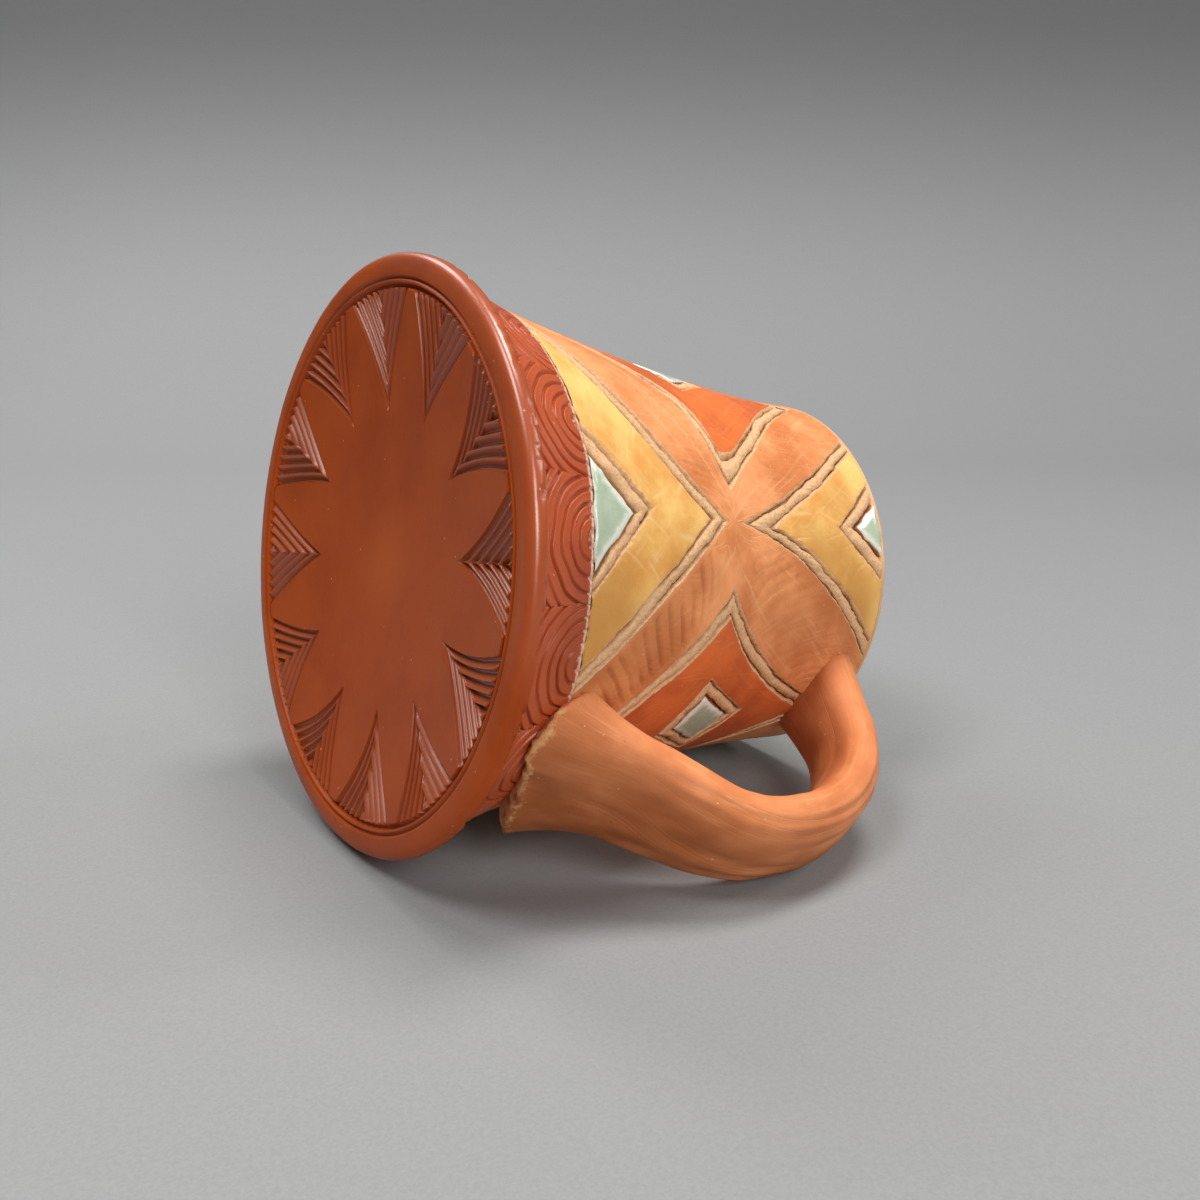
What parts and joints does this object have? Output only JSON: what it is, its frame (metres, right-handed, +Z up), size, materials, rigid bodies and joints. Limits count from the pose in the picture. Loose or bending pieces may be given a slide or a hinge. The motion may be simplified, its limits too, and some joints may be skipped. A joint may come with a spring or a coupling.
{
  "type": "clay mug",
  "caption": "Hand-built clay mug with a broad carved foot, a drawn-in wall carved with a petal lattice in coloured slips, small glazed tiles and a pulled strap handle.",
  "frame": {"origin": "middle of the flat ring that the mug stands on", "axes": "+Z up along the mug's axis from the foot to the lip, +X from the axis towards the handle"},
  "size_m": [0.134, 0.114, 0.102],
  "materials": {
    "base_slip": "burnished dark red slip, satin",
    "buff_clay": "bare fired clay, matt",
    "handle_slip": "burnished brown-orange slip, satin",
    "liner_glaze": "pale green glaze, gloss",
    "band_slip": "carved dark red slip, satin",
    "petal_slip": "brushed orange-brown slip, satin",
    "ochre_slip": "brushed ochre slip, satin",
    "brick_slip": "brushed brick-red slip, satin",
    "tile_glaze": "thick pale green glaze, gloss"
  },
  "bodies": {
    "root": {"base_slab": "base_slip", "wall": "buff_clay", "handle": "handle_slip", "liner_glaze": "liner_glaze", "scallop_band": "band_slip", "petal_lattice": "petal_slip", "lower_ochre_fields": "ochre_slip", "upper_ochre_fields": "ochre_slip", "red_diamonds": "brick_slip", "foot_tiles": "tile_glaze", "lip_tiles": "tile_glaze", "lozenge_tiles": "tile_glaze"}
  },
  "joints": []
}
